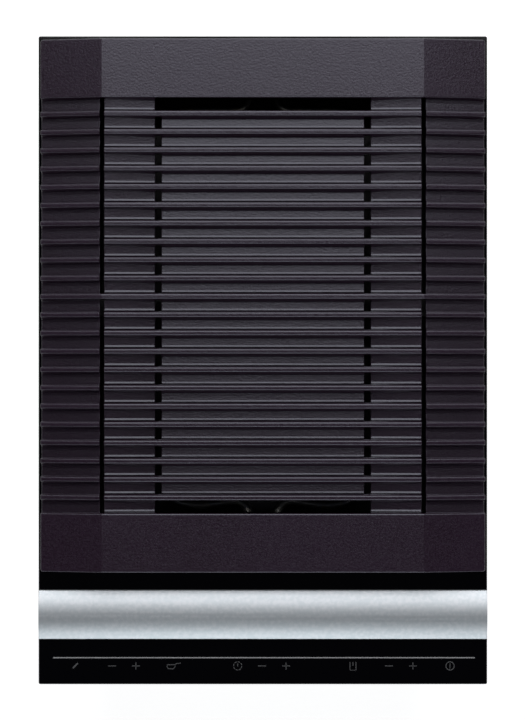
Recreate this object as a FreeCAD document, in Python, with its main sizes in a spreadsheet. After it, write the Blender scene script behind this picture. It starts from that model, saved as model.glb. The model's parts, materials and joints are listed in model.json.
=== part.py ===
# Built-in domino grill: a black glass panel with a ribbed cast-iron grate over a stainless well,
# two swing-up heaters, a touch strip behind an aluminium trim bar, and a drain tap below.
# Millimetres. X is to the right, Y towards the back, Z up. The origin is the middle of the panel,
# on the worktop's surface.
import FreeCAD, Part
import math
import os
import re

import Sketcher

V = FreeCAD.Vector

# Driving dimensions: one named cell of the sheet each.
SIZES = {
    # glass panel and the seal that it stands on
    "panel_width": 360,
    "panel_depth": 520,
    "panel_corner": 1.5,
    "panel_bevel": 0.5,
    "glass_thickness": 4,
    "seal_thickness": 1.5,
    "seal_width": 6,
    "seal_inset": 2,
    # well under the grate
    "field_y": 43.5,
    "well_width": 276,
    "well_length": 368,
    "well_depth": 78,
    "well_fall": 8,
    "well_wall": 1,
    "well_corner": 16,
    "well_floor_corner": 6,
    "rim_reach": 12,
    "rim_thickness": 0.8,
    "gasket_thickness": 0.5,
    "gasket_width": 7,
    "well_gap": 2,
    # grate
    "grate_width": 354.8,
    "grate_depth": 424.4,
    "grate_corner": 2,
    "grate_edge": 1,
    "ridge_plane": 27,
    "ridge_count": 22,
    "ridge_pitch": 14.55,
    "ridge_width": 4.1,
    "ridge_height": 6,
    "ridge_chamfer": 0.8,
    "plate_thickness": 3.5,
    "lip_rise": 0.2,
    "groove_width": 1.2,
    "groove_depth": 1.6,
    "wall_draft": 2.4,
    "wall_draft_least": 0.3,
    "wing_draft": 1.8,
    "wall_edge": 2,
    "shoulder_rise": 1.6,
    "crown_half": 128,
    "wing_drop": 10,
    "scallop": 0.4,
    "slot_width": 3.6,
    "drain_row_half": 83.3,
    "drain_hole_width": 5.2,
    "drain_hole_margin": 0.5,
    "skirt_thickness": 4,
    "skirt_gap": 1.5,
    "foot_x": 144,
    "foot_spread": 144,
    "foot_radius": 5,
    "lug_gap": 1.5,
    "lug_width": 3.5,
    "lug_length": 30,
    "lug_depth": 6,
    "lug_spread": 40,
    "root_depth": 0.5,
    # heaters
    "heater_radius": 3.25,
    "heater_sides": 8,
    "heater_bend_step": 15,
    "heater_drop": 4,
    "heater_first": 17,
    "heater_pitch": 30,
    "heater_tip_gap": 5,
    "heater_run": 18,
    "heater_return": 18,
    "heater_corner": 19,
    "heater_lead_bend": 10,
    "heater_lead_half": 11.5,
    "pivot_inset": 9,
    "pivot_radius": 2,
    "pivot_gap": 0.05,
    "head_width": 48,
    "head_front": 4,
    "head_back": 7,
    "head_height": 10,
    "ear_thickness": 2,
    "ear_gap": 0.5,
    "ear_radius": 6,
    "support_width": 16,
    "support_wall": 1.2,
    "support_height": 14,
    # casing
    "casing_width": 316,
    "casing_front": 248,
    "casing_back": 235,
    "casing_depth": 94.5,
    "casing_wall": 1,
    "casing_corner": 4,
    "casing_flange": 3,
    "vent_length": 26,
    "vent_height": 3,
    "vent_pitch": 9,
    "vent_count": 6,
    "shield_gap": 12,
    "shield_foot": 10,
    "cover_half": 132,
    "cover_lap": 7,
    "cover_depth": 62,
    "cover_thickness": 1.2,
    # drain
    "drain_front": 148.5,
    "drain_flat": 44,
    "spigot_bore": 10.5,
    "spigot_radius": 13,
    "spigot_flange": 25,
    "spigot_flange_height": 1.5,
    "spigot_length": 26,
    "spigot_gap": 0.3,
    "drain_washer": 2,
    "drain_washer_width": 5,
    "drain_nut_radius": 21,
    "drain_nut_height": 8,
    "strainer_radius": 21,
    "strainer_sheet": 1,
    "strainer_slots": 8,
    "strainer_knob": 3.5,
    "strainer_knob_height": 7,
    "valve_radius": 18,
    "valve_height": 40,
    "valve_drop": 3,
    "plug_radius": 11.5,
    "plug_reach": 13,
    "plug_bore": 8,
    "plug_gap": 0.05,
    "stem_radius": 4,
    "boss_radius": 14.5,
    "boss_length": 8,
    "plug_nut_radius": 17,
    "plug_nut_height": 4,
    "lever_gap": 0.5,
    "lever_length": 70,
    "lever_width": 16,
    "lever_thickness": 3,
    "grip_length": 38,
    "grip_wall": 1.2,
    "outlet_radius": 10.5,
    "outlet_bore": 8,
    "outlet_length": 17,
    "tail_radius": 11,
    "tail_flange": 4,
    "tail_thread": 7,
    # trim bar
    "bar_front": 223.2,
    "bar_width": 38.9,
    "bar_length": 361.8,
    "bar_edge": 4,
    "bar_crown": 40,
    "bar_gap": 0.3,
    "adhesive": 0.8,
    "adhesive_width": 6,
    # touch strip and electronics
    "touch_y": 241,
    "touch_far": 150.5,
    "touch_pair": 111.3,
    "touch_step": 9.6,
    "touch_near": 72.6,
    "touch_pad": 8,
    "touch_pad_height": 3,
    "board_thickness": 1.6,
    "touch_board_width": 310,
    "touch_board_depth": 40,
    "carrier_margin": 1.5,
    "carrier_height": 9,
    "carrier_wall": 2,
    "display_width": 20,
    "display_depth": 11,
    "power_board_width": 190,
    "power_board_depth": 42,
    "power_board_shift": 28,
    "spacer_height": 8,
    "spacer_radius": 3,
    "spacer_inset": 5,
    "relay_width": 16,
    "relay_depth": 22,
    "relay_height": 16,
    "relay_count": 4,
    "relay_pitch": 24,
    "terminal_width": 42,
    "terminal_depth": 20,
    "terminal_height": 18,
    "ribbon_width": 18,
    "ribbon_thickness": 0.6,
    "ribbon_inset": 8,
    "thermostat_radius": 9.6,
    "gland_x": 104,
    "gland_bore": 5.2,
    "gland_radius": 8,
    "gland_nut_radius": 11,
    "gland_nut_height": 5,
    "gland_length": 22,
    # worktop clamps
    "clamp_spread": 150,
    "clamp_top": 12,
    "clamp_height": 46,
    "clamp_reach": 11,
    "clamp_width": 22,
    "clamp_sheet": 1.5,
    "clamp_screw": 2,
    "clamp_screw_out": 7,
    "clamp_screw_head": 4,
    "clamp_screw_tail": 2,
    "claw_drop": 40,
    "claw_height": 6,
    "claw_length": 26,
    "claw_width": 9,
    "claw_gap": 0.2,
    # small screws
    "screw_radius": 1.6,
    "screw_head": 3.2,
    "screw_head_height": 1.8,
}

# Places that follow from the sizes, written out in full where an object is bound to them.
PLACES = {
    "glass_top": "seal_thickness + glass_thickness",
    "rim_bottom": "glass_top + gasket_thickness",
    "rim_top": "rim_bottom + rim_thickness",
    "well_x": "well_width / 2",
    "well_front": "field_y - well_length / 2",
    "well_back": "field_y + well_length / 2",
    "drain_y": "field_y - drain_front",
    "well_under": "-well_depth - well_wall",
    "skirt_bottom": "glass_top + skirt_gap",
    "grate_x": "grate_width / 2",
    "grate_front": "field_y - grate_depth / 2",
    "grate_back": "field_y + grate_depth / 2",
    "grate_thickness": "ridge_height + plate_thickness",
    "grate_under": "ridge_plane - grate_thickness",
    "wing_slope": "wing_drop / (grate_x - crown_half)",
    "channel_width": "ridge_pitch - ridge_width",
    "channel_back": "field_y + (ridge_count + 1) / 2 * ridge_pitch - ridge_width / 2",
    "channel_front": "2 * field_y - channel_back",
    "heater_z": "-heater_drop",
    "pivot_front": "well_front + pivot_inset",
    "casing_x": "casing_width / 2",
    "casing_under": "-casing_depth",
    "casing_floor": "-casing_depth + casing_wall",
    "shield_y": "well_front - well_wall - shield_gap",
    "cover_back": "shield_y - shield_foot - cover_lap - 2 * casing_wall",
    "cover_front": "cover_back - cover_depth",
    "cover_y": "(cover_front + cover_back) / 2",
    "cover_under": "casing_under - cover_thickness",
    "spigot_top": "-well_depth + spigot_flange_height",
    "spigot_end": "spigot_top - spigot_length - spigot_flange_height",
    "nut_top": "well_under - drain_washer",
    "valve_top": "casing_under - valve_drop",
    "plug_z": "valve_top - valve_height / 2",
    "boss_face": "drain_y - valve_radius - boss_length",
    "lever_back": "boss_face - plug_nut_height - lever_gap",
    "valve_end": "valve_top - valve_height",
    "board_top": "seal_thickness - touch_pad_height",
    "board_under": "board_top - board_thickness",
    "power_board_z": "casing_under + spacer_height",
    "power_board_top": "power_board_z + board_thickness",
    "clamp_x": "casing_x + clamp_screw_out",
    "claw_z": "-claw_drop - claw_height",
}

doc = FreeCAD.newDocument("DominoGrill")
sheet = doc.addObject("Spreadsheet::Sheet", "Sizes")
for row, (alias, number) in enumerate(SIZES.items(), start=1):
    sheet.set(f"A{row}", alias)
    sheet.set(f"B{row}", str(number))
    sheet.setAlias(f"B{row}", alias)
doc.recompute()

NODES = []


def bound(text):
    """An expression in the sheet's terms: each size becomes its cell, each place is written out."""
    def swap(word):
        name = word.group()
        if name in PLACES:
            return "(" + bound(PLACES[name]) + ")"
        return "Sizes." + name if name in SIZES else name
    return re.sub(r"[a-z][a-z_]*", swap, str(text))


def size(text):
    """The value of an expression, in millimetres."""
    return float(sheet.evalExpression(bound(text)))


def bind(thing, **texts):
    """Bind properties of an object to expressions; an x, y or z is a place of its origin."""
    for name, text in texts.items():
        path = f"Placement.Base.{name}" if name in ("x", "y", "z") else name
        thing.setExpression(path, bound(text))
    return thing


def node(thing, name):
    """Name an object as a finished sub-part."""
    thing.Label = name
    NODES.append(thing)
    return thing


# Sketches and solid features


def new_body(name):
    body = doc.addObject("PartDesign::Body", name + "_body")
    return node(body, name)


def new_sketch(body, name, plane, offset=None):
    """A sketch on one of the body's own origin planes, moved along the plane's normal."""
    sketch = body.newObject("Sketcher::SketchObject", name)
    support = [part for part in body.Origin.OriginFeatures if part.Role == plane + "_Plane"][0]
    sketch.AttachmentSupport = (support, [""])
    sketch.MapMode = "FlatFace"
    if offset is not None:
        sketch.setExpression("AttachmentOffset.Base.z", bound(offset))
    return sketch


def hold(sketch, kind, edge, point, text):
    """Tie a point's distance from the sketch's origin to an expression."""
    row = sketch.addConstraint(Sketcher.Constraint(kind, -1, 1, edge, point, size(text)))
    sketch.setExpression(f"Constraints[{row}]", bound(text))


def outline(sketch, points):
    """A closed counterclockwise outline. A point (x, y, radius) starts an arc that bulges outward."""
    places = [V(size(point[0]), size(point[1]), 0) for point in points]
    edges = []
    for index, point in enumerate(points):
        start = places[index]
        end = places[(index + 1) % len(points)]
        if len(point) == 2:
            edges.append(sketch.addGeometry(Part.LineSegment(start, end)))
            continue
        radius = size(point[2])
        half = (end - start) / 2
        rise = math.sqrt(max(radius ** 2 - half.Length ** 2, 0))
        side = V(-half.y, half.x, 0).normalize()
        centre = start + half + side * rise
        angles = [math.atan2(spot.y - centre.y, spot.x - centre.x) for spot in (start, end)]
        round_edge = Part.ArcOfCircle(Part.Circle(centre, V(0, 0, 1), radius), *angles)
        edges.append(sketch.addGeometry(round_edge))
    for index, edge in enumerate(edges):
        following = edges[(index + 1) % len(edges)]
        sketch.addConstraint(Sketcher.Constraint("Coincident", edge, 2, following, 1))
    for edge, point in zip(edges, points):
        hold(sketch, "DistanceX", edge, 1, point[0])
        hold(sketch, "DistanceY", edge, 1, point[1])
        if len(point) == 3:
            row = sketch.addConstraint(Sketcher.Constraint("Radius", edge, size(point[2])))
            sketch.setExpression(f"Constraints[{row}]", bound(point[2]))


def rectangle(sketch, left, right, low, high, corner=None):
    """A rectangle in a sketch, with rounded corners if a radius is given."""
    if corner is None:
        outline(sketch, [(left, low), (right, low), (right, high), (left, high)])
        return
    left_in = f"{left} + {corner}"
    right_in = f"{right} - ({corner})"
    low_in = f"{low} + {corner}"
    high_in = f"{high} - ({corner})"
    outline(sketch, [
        (left_in, low), (right_in, low, corner), (right, low_in), (right, high_in, corner),
        (right_in, high), (left_in, high, corner), (left, high_in), (left, low_in, corner)])


def circle(sketch, across, up, radius):
    ring = Part.Circle(V(size(across), size(up), 0), V(0, 0, 1), size(radius))
    edge = sketch.addGeometry(ring)
    hold(sketch, "DistanceX", edge, 3, across)
    hold(sketch, "DistanceY", edge, 3, up)
    row = sketch.addConstraint(Sketcher.Constraint("Radius", edge, size(radius)))
    sketch.setExpression(f"Constraints[{row}]", bound(radius))


def feature(body, kind, name, sketch=None, **texts):
    """Add a solid feature to a body, with its sizes bound, and make it the body's tip."""
    made = body.newObject("PartDesign::" + kind, name)
    if sketch is not None:
        made.Profile = sketch
        sketch.Visibility = False
    for key, text in texts.items():
        made.setExpression(key, bound(text))
    body.Tip = made
    return made


def pad(body, name, sketch, length, back=None):
    """Pad a sketch along its normal, and by another length the other way."""
    made = feature(body, "Pad", name, sketch, Length=length)
    if back is not None:
        made.SideType = "Two sides"
        made.setExpression("Length2", bound(back))
    return made


def pocket(body, name, sketch, length=None, back=None, along_normal=False):
    """Pocket a sketch against its normal, or along it, by a length or through everything."""
    made = feature(body, "Pocket", name, sketch)
    if length is None:
        made.Type = "ThroughAll"
        made.SideType = "Symmetric"
        return made
    made.setExpression("Length", bound(length))
    made.Reversed = along_normal
    if back is not None:
        made.SideType = "Two sides"
        made.setExpression("Length2", bound(back))
    return made


def dress(body, kind, name, edges, radius):
    """Fillet or chamfer chosen edges of the body's last solid."""
    doc.recompute()
    made_from = body.Tip
    names = [f"Edge{place}" for place, edge in enumerate(made_from.Shape.Edges, start=1) if edges(edge)]
    made = body.newObject("PartDesign::" + kind, name)
    made.Base = (made_from, names)
    made.setExpression("Radius" if kind == "Fillet" else "Size", bound(radius))
    body.Tip = made
    return made


def runs_along(edge, axis):
    """True for a straight edge along an axis, 0 for X, 1 for Y and 2 for Z."""
    if not isinstance(edge.Curve, Part.Line):
        return False
    return abs(abs(edge.tangentAt(edge.FirstParameter)[axis]) - 1) < 1e-6


def lies_at(edge, axis, place, reach=0.01):
    """True for an edge whose middle has the given coordinate."""
    middle = edge.BoundBox.Center
    return abs(middle[axis] - place) < reach


# Plain solids and booleans


def box(name, x0, x1, y0, y1, z0, z1):
    made = doc.addObject("Part::Box", name)
    bind(made, x=x0, y=y0, z=z0, Length=f"{x1} - ({x0})", Width=f"{y1} - ({y0})", Height=f"{z1} - ({z0})")
    return made


TURNS = {
    "z": FreeCAD.Rotation(),
    "x": FreeCAD.Rotation(V(0, 1, 0), 90),
    "y": FreeCAD.Rotation(V(1, 0, 0), -90),
}


def cylinder(name, x, y, z, radius, height, axis="z"):
    """A cylinder that starts at a point and runs along +X, +Y or +Z."""
    made = doc.addObject("Part::Cylinder", name)
    made.Placement = FreeCAD.Placement(V(), TURNS[axis])
    bind(made, x=x, y=y, z=z, Radius=radius, Height=height)
    return made


def cut(name, base, *tools):
    made = doc.addObject("Part::Cut", name)
    made.Base = base
    made.Tool = tools[0] if len(tools) == 1 else fuse(name + "_tools", *tools)
    return made


def fuse(name, *shapes):
    made = doc.addObject("Part::MultiFuse", name)
    made.Shapes = list(shapes)
    return made


def shaped(name, shape):
    """A finished sub-part whose shape is worked out from the sheet here."""
    made = doc.addObject("Part::Feature", name)
    made.Shape = shape
    made.Placement = FreeCAD.Placement()
    return node(made, name)


def rod(x, y, z, radius, height, direction=V(0, 0, 1)):
    """A plain cylinder shape from expressions, for the groups below."""
    return Part.makeCylinder(size(radius), size(height), V(size(x), size(y), size(z)), direction)


def block(x0, x1, y0, y1, z0, z1):
    """A plain block shape from expressions, for the groups below."""
    low = V(size(x0), size(y0), size(z0))
    return Part.makeBox(size(x1) - low.x, size(y1) - low.y, size(z1) - low.z, low)


# Panel


def make_worktop_seal():
    body = new_body("worktop_seal")
    sketch = new_sketch(body, "seal_ring", "XY")
    half_x = "panel_width / 2 - seal_inset"
    half_y = "panel_depth / 2 - seal_inset"
    rectangle(sketch, f"-({half_x})", half_x, f"-({half_y})", half_y, "panel_corner")
    rectangle(sketch, f"-({half_x}) + seal_width", f"{half_x} - seal_width",
              f"-({half_y}) + seal_width", f"{half_y} - seal_width")
    pad(body, "seal_pad", sketch, "seal_thickness")


def make_glass_panel():
    body = new_body("glass_panel")
    sketch = new_sketch(body, "panel_outline", "XY", "seal_thickness")
    rectangle(sketch, "-panel_width / 2", "panel_width / 2", "-panel_depth / 2", "panel_depth / 2",
              "panel_corner")
    pad(body, "panel_pad", sketch, "glass_thickness")
    top = size("glass_top")
    dress(body, "Chamfer", "panel_bevels", lambda edge: lies_at(edge, 2, top), "panel_bevel")
    hole = new_sketch(body, "well_hole", "XY", "glass_top")
    reach = "well_wall + well_gap"
    rectangle(hole, f"-well_x - ({reach})", f"well_x + {reach}", f"well_front - ({reach})",
              f"well_back + {reach}", f"well_corner + {reach}")
    pocket(body, "well_hole_cut", hole)


# Well and its rim


def well_form(body, name, reach):
    """The closed form of the tub, grown outward from its inner faces by a reach."""
    side = new_sketch(body, name + "_side", "YZ", f"-well_x - ({reach})")
    front = f"well_front - ({reach})"
    back = f"well_back + {reach}"
    floor = f"-well_depth - ({reach})"
    outline(side, [
        (front, floor), ("drain_y + drain_flat", floor), (back, f"{floor} + well_fall"),
        (back, "rim_top"), (front, "rim_top")])
    return side


def tub_form(name, reach):
    """The closed form of the tub: rounded corners, and a floor that falls towards the drain."""
    body = doc.addObject("PartDesign::Body", name)
    pad(body, name + "_pad", well_form(body, name, reach), f"well_width + 2 * ({reach})")
    dress(body, "Fillet", name + "_corners", lambda edge: runs_along(edge, 2), f"well_corner + {reach}")
    below = size(f"-well_depth - ({reach}) + well_fall")
    fold = size("drain_y + drain_flat")
    dress(body, "Fillet", name + "_floor_edges",
          lambda edge: edge.BoundBox.ZMax < below + 0.01
          and not (runs_along(edge, 0) and lies_at(edge, 1, fold)), f"well_floor_corner + {reach}")
    return body


def make_well():
    rim = doc.addObject("PartDesign::Body", "well_rim")
    ring = new_sketch(rim, "rim_ring", "XY", "rim_bottom")
    rectangle(ring, "-well_x - rim_reach", "well_x + rim_reach", "well_front - rim_reach",
              "well_back + rim_reach", "well_corner + rim_reach")
    pad(rim, "rim_pad", ring, "rim_thickness")
    drain = cylinder("well_drain_hole", "0", "drain_y", "well_under", "spigot_radius + spigot_gap",
                     "2 * well_wall")
    form = fuse("well_outside", tub_form("tub_outside", "well_wall"), rim)
    node(cut("well_cut", form, tub_form("tub_inside", "0"), drain), "well")


def make_well_gasket():
    body = new_body("well_gasket")
    ring = new_sketch(body, "gasket_ring", "XY", "glass_top")
    inner = "rim_reach - gasket_width"
    rectangle(ring, "-well_x - rim_reach", "well_x + rim_reach", "well_front - rim_reach",
              "well_back + rim_reach", "well_corner + rim_reach")
    rectangle(ring, f"-well_x - ({inner})", f"well_x + {inner}", f"well_front - ({inner})",
              f"well_back + {inner}", f"well_corner + {inner}")
    pad(body, "gasket_pad", ring, "gasket_thickness")


# Grate: a crowned casting, its channels cut by one profile that repeats across the field


def channel_profile(body, name, place, draft, floor_shift="0", top_shift="0"):
    """One channel's section: a ridge's wall that runs out below, a floor up to a lip, then a groove."""
    sketch = new_sketch(body, name, "YZ", place)
    back = "channel_back"
    front = "channel_back - channel_width"
    lip = f"{front} + groove_width"
    floor = f"ridge_plane - ridge_height + {floor_shift}"
    above = f"ridge_plane + wing_drop + {top_shift}"
    outline(sketch, [
        (front, f"{floor} + lip_rise - groove_depth"),
        (lip, f"{floor} + lip_rise - groove_depth"),
        (lip, f"{floor} + lip_rise"),
        (f"{back} - {draft}", floor),
        (back, f"ridge_plane - wall_edge + {top_shift}"),
        (back, f"ridge_plane - ridge_chamfer + {top_shift}"),
        (f"{back} + ridge_chamfer + wing_drop", above),
        (f"{front} - ridge_chamfer - wing_drop", above),
        (front, f"ridge_plane - ridge_chamfer + {top_shift}")])
    sketch.Visibility = False
    return sketch


def channel_loft(body, name, start, end):
    """A channel zone cut between two profiles, straight from one to the other."""
    made = feature(body, "SubtractiveLoft", name, start)
    made.Sections = [end]
    made.Ruled = True
    return made


def repeat_rows(body, name, originals, count):
    """Repeat cuts towards the front, one for each row."""
    rows = body.newObject("PartDesign::LinearPattern", name)
    rows.Originals = originals
    rows.Direction = ([part for part in body.Origin.OriginFeatures if part.Role == "Y_Axis"][0], [""])
    rows.Reversed = True
    rows.setExpression("Length", bound(f"({count} - 1) * ridge_pitch"))
    rows.setExpression("Occurrences", bound(count))
    body.Tip = rows
    return rows


def both_sides(sketch, near, far, low, high):
    """Two rectangles in a plan sketch, one each side of the middle."""
    rectangle(sketch, near, far, low, high)
    rectangle(sketch, f"-({far})", f"-({near})", low, high)


def make_grate():
    body = new_body("grill_grate")
    crown = new_sketch(body, "crown_section", "XZ")
    outline(crown, [
        ("-grate_x", "skirt_bottom"), ("grate_x", "skirt_bottom"),
        ("grate_x", "ridge_plane - wing_drop"), ("crown_half", "ridge_plane"),
        ("-crown_half", "ridge_plane"), ("-grate_x", "ridge_plane - wing_drop")])
    pad(body, "crown_pad", crown, "-grate_front", "grate_back")
    dress(body, "Fillet", "grate_corners", lambda edge: runs_along(edge, 2), "grate_corner")
    low = size("skirt_bottom")
    fold = size("crown_half")
    dress(body, "Fillet", "grate_rounding",
          lambda edge: edge.BoundBox.ZMin > low + 1 and not runs_along(edge, 2)
          and not (runs_along(edge, 1) and abs(abs(edge.BoundBox.Center.x) - fold) < 1), "grate_edge")
    hollow = new_sketch(body, "hollow_section", "XZ")
    inner = "grate_x - skirt_thickness"
    inner_top = "grate_under - wing_slope * (grate_x - skirt_thickness - crown_half)"
    below = "skirt_bottom - skirt_gap"
    outline(hollow, [
        (f"-({inner})", below), (inner, below), (inner, inner_top), ("crown_half", "grate_under"),
        ("-crown_half", "grate_under"), (f"-({inner})", inner_top)])
    pocket(body, "hollow_cut", hollow, "grate_back - skirt_thickness", "-grate_front - skirt_thickness")
    feet = new_sketch(body, "feet", "XY", "rim_top")
    for across in ("-foot_x", "foot_x"):
        for along in ("field_y - foot_spread", "field_y + foot_spread"):
            circle(feet, across, along, "foot_radius")
    pad(body, "feet_pad", feet, "grate_under - rim_top - lug_gap")
    lugs = new_sketch(body, "lugs", "XY", "rim_top - lug_depth")
    for middle in ("field_y - lug_spread", "field_y + lug_spread"):
        both_sides(lugs, "well_x - lug_gap - lug_width", "well_x - lug_gap",
                   f"{middle} - lug_length / 2", f"{middle} + lug_length / 2")
    for edge, inward in (("well_front + lug_gap", "+"), ("well_back - lug_gap", "-")):
        ends = (edge, f"{edge} {inward} lug_width")
        low_edge, high_edge = ends if inward == "+" else ends[::-1]
        both_sides(lugs, "drain_row_half - lug_length", "drain_row_half", low_edge, high_edge)
    pad(body, "lugs_pad", lugs, "grate_under + root_depth - rim_top + lug_depth")
    middle_sketch = channel_profile(body, "channel_middle", "-drain_row_half", "wall_draft")
    cuts = [pocket(body, "middle_cut", middle_sketch, "2 * drain_row_half", along_normal=True)]
    beyond = "grate_x + skirt_gap"
    drop = f"-wing_slope * ({beyond} - crown_half)"
    for side, sign in (("right", ""), ("left", "-")):
        inner_end = channel_profile(body, side + "_row_end", f"{sign}drain_row_half", "wall_draft")
        shoulder_end = channel_profile(body, side + "_shoulder", f"{sign}crown_half", "wall_draft_least",
                                       "shoulder_rise")
        cuts.append(channel_loft(body, side + "_shoulder_cut", inner_end, shoulder_end))
        wing_start = channel_profile(body, side + "_wing_start", f"{sign}crown_half", "wall_draft_least")
        wing_end = channel_profile(body, side + "_wing_end", f"{sign}({beyond})", "wing_draft", drop, drop)
        cuts.append(channel_loft(body, side + "_wing_cut", wing_start, wing_end))
    ends = new_sketch(body, "scallops", "XY", "ridge_plane")
    both_sides(ends, "grate_x - scallop", beyond, "channel_back - channel_width", "channel_back")
    cuts.append(pocket(body, "scallop_cut", ends))
    repeat_rows(body, "channel_rows", cuts, "ridge_count + 1")
    holes = new_sketch(body, "drain_holes", "XY", "ridge_plane")
    first = "channel_back - ridge_pitch"
    both_sides(holes, "drain_row_half - drain_hole_width / 2", "drain_row_half + drain_hole_width / 2",
               f"{first} - channel_width + drain_hole_margin", f"{first} - drain_hole_margin")
    hole_cut = pocket(body, "drain_hole_cut", holes)
    repeat_rows(body, "drain_hole_rows", [hole_cut], "ridge_count - 1")
    openings = new_sketch(body, "openings", "XY", "ridge_plane")
    reach = "drain_row_half + drain_hole_width / 2"
    rectangle(openings, f"-({reach})", reach, "channel_back - channel_width", "channel_back")
    rectangle(openings, f"-({reach})", reach, "channel_front", "channel_front + channel_width")
    slot_in = "crown_half - slot_width / 2"
    slot_out = "crown_half + slot_width / 2"
    bridge = "ridge_pitch / 2"
    both_sides(openings, slot_in, slot_out, "channel_front", f"field_y + {bridge} - ridge_width / 2")
    both_sides(openings, slot_in, slot_out, f"field_y + {bridge} + ridge_width / 2", "channel_back")
    pocket(body, "openings_cut", openings)


# Heaters


def bent_path(points, bends, step):
    """A path of straight runs that bends round each inner point in short runs, a step apart in degrees."""
    spots = [points[0]]
    for before, point, after, bend in zip(points, points[1:], points[2:], bends):
        inward = (before - point).normalize()
        outward = (after - point).normalize()
        corner = inward.getAngle(outward)
        trim = bend / math.tan(corner / 2)
        centre = point + (inward + outward).normalize() * math.hypot(bend, trim)
        turn = math.pi - corner
        count = max(1, round(math.degrees(turn) / step))
        reach = bend / math.cos(turn / count / 2)
        start = point + inward * trim - centre
        stop = point + outward * trim - centre
        for index in range(count):
            share = (index + 0.5) * turn / count
            arm = start * math.sin(turn - share) + stop * math.sin(share)
            spots.append(centre + arm.normalize() * reach)
    spots.append(points[-1])
    return Part.makePolygon(spots)


def heater_path(turned):
    """The heating tube's centre line: two leads, a run along the wall and six long legs."""
    lead = size("heater_lead_half")
    start = size("pivot_front + head_back")
    run = size("pivot_front + heater_run")
    tip = size("field_y - heater_tip_gap")
    back = run + size("heater_return")
    first = size("heater_first")
    pitch = size("heater_pitch")
    corners = [
        (lead, start, 0), (lead, run, size("heater_lead_bend")),
        (first + 2 * pitch, run, size("heater_corner")), (first + 2 * pitch, tip, pitch / 2),
        (first + pitch, tip, pitch / 2), (first + pitch, back, pitch / 2),
        (first, back, pitch / 2), (first, tip, first)]
    route = corners + [(-across, along, bend) for across, along, bend in reversed(corners)]
    level = size("heater_z")
    if turned:
        route = [(-across, 2 * size("field_y") - along, bend) for across, along, bend in route]
    points = [V(across, along, level) for across, along, bend in route]
    return bent_path(points, [bend for across, along, bend in route[1:-1]], size("heater_bend_step"))


def make_heater(name, turned):
    path = heater_path(turned)
    start = path.OrderedVertexes[0].Point
    sides = int(size("heater_sides"))
    turns = [2 * math.pi * (side / sides - 0.25) for side in range(sides + 1)]
    radius = size("heater_radius")
    flats = [start + V(radius * math.cos(turn), 0, radius * math.sin(turn)) for turn in turns]
    section = Part.makePolygon(flats)
    mitred = 1
    tube = path.makePipeShell([section], True, False, mitred)
    ideal = Part.Face(section).Area * path.Length
    print(f"{name}: volume {tube.Volume:.1f}, section times length {ideal:.1f}")
    shaped(name, tube)


def make_heater_mount(name, turned):
    """The hinge of one heater: a head on the tube's ends, a pin and a bracket on the well's wall."""
    wall = "well_back" if turned else "well_front"
    pivot = "2 * field_y - pivot_front" if turned else "pivot_front"
    head_low, head_high = ("head_back", "head_front") if turned else ("head_front", "head_back")
    half = "head_width / 2"
    head = box(name + "_head_block", f"-{half}", half, f"{pivot} - {head_low}", f"{pivot} + {head_high}",
               "heater_z - head_height / 2", "heater_z + head_height / 2")
    bore = cylinder(name + "_head_bore", f"-{half}", pivot, "heater_z", "pivot_radius + pivot_gap",
                    "head_width", "x")
    node(cut(name + "_head_cut", head, bore), name + "_head")
    ear_in = f"{half} + ear_gap"
    ear_out = f"{ear_in} + ear_thickness"
    plate = ("well_front", "well_front + ear_thickness")
    ear = ("well_front", "pivot_front")
    if turned:
        plate = ("well_back - ear_thickness", "well_back")
        ear = ("2 * field_y - pivot_front", "well_back")
    low = "heater_z - ear_radius"
    high = "heater_z + ear_radius"
    parts = [box(name + "_bracket_plate", f"-({ear_out})", ear_out, *plate, low, high)]
    for side, left, right in (("left", f"-({ear_out})", f"-({ear_in})"), ("right", ear_in, ear_out)):
        parts.append(box(f"{name}_{side}_ear", left, right, *ear, low, high))
        parts.append(cylinder(f"{name}_{side}_ear_end", left, pivot, "heater_z", "ear_radius",
                              "ear_thickness", "x"))
    pin_half = f"{ear_out} + ear_thickness / 2"
    hole = cylinder(name + "_bracket_hole", f"-({ear_out})", pivot, "heater_z", "pivot_radius",
                    f"2 * ({ear_out})", "x")
    node(cut(name + "_bracket_cut", fuse(name + "_bracket_form", *parts), hole), name + "_bracket")
    pin = cylinder(name + "_pin_rod", f"-({pin_half})", pivot, "heater_z", "pivot_radius",
                   f"2 * ({pin_half})", "x")
    node(pin, name + "_pin")


def make_heater_support():
    body = new_body("heater_support")
    section = new_sketch(body, "support_section", "YZ", "-well_x")
    top = "heater_z - heater_radius"
    low = f"{top} - support_height"
    front = "field_y - support_width / 2"
    back = "field_y + support_width / 2"
    outline(section, [
        (front, low), (f"{front} + support_wall", low), (f"{front} + support_wall", f"{top} - support_wall"),
        (f"{back} - support_wall", f"{top} - support_wall"), (f"{back} - support_wall", low), (back, low),
        (back, top), (front, top)])
    pad(body, "support_pad", section, "well_width")


# Casing under the panel


def cover_screw_places():
    """The base cover's screws: three along its front and three along its back."""
    across = ("-cover_half + cover_lap / 2", "0", "cover_half - cover_lap / 2")
    along = ("cover_front + cover_lap / 2", "cover_back - cover_lap / 2")
    return [(x, y) for x in across for y in along]


def casing_form(name, reach, low, high):
    """A closed block with the casing's plan, grown outward by a reach."""
    body = doc.addObject("PartDesign::Body", name)
    plan = new_sketch(body, name + "_plan", "XY", low)
    rectangle(plan, f"-casing_x - ({reach})", f"casing_x + {reach}", f"-casing_front - ({reach})",
              f"casing_back + {reach}", f"casing_corner + {reach}")
    pad(body, name + "_pad", plan, f"{high} - ({low})")
    return body


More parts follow.
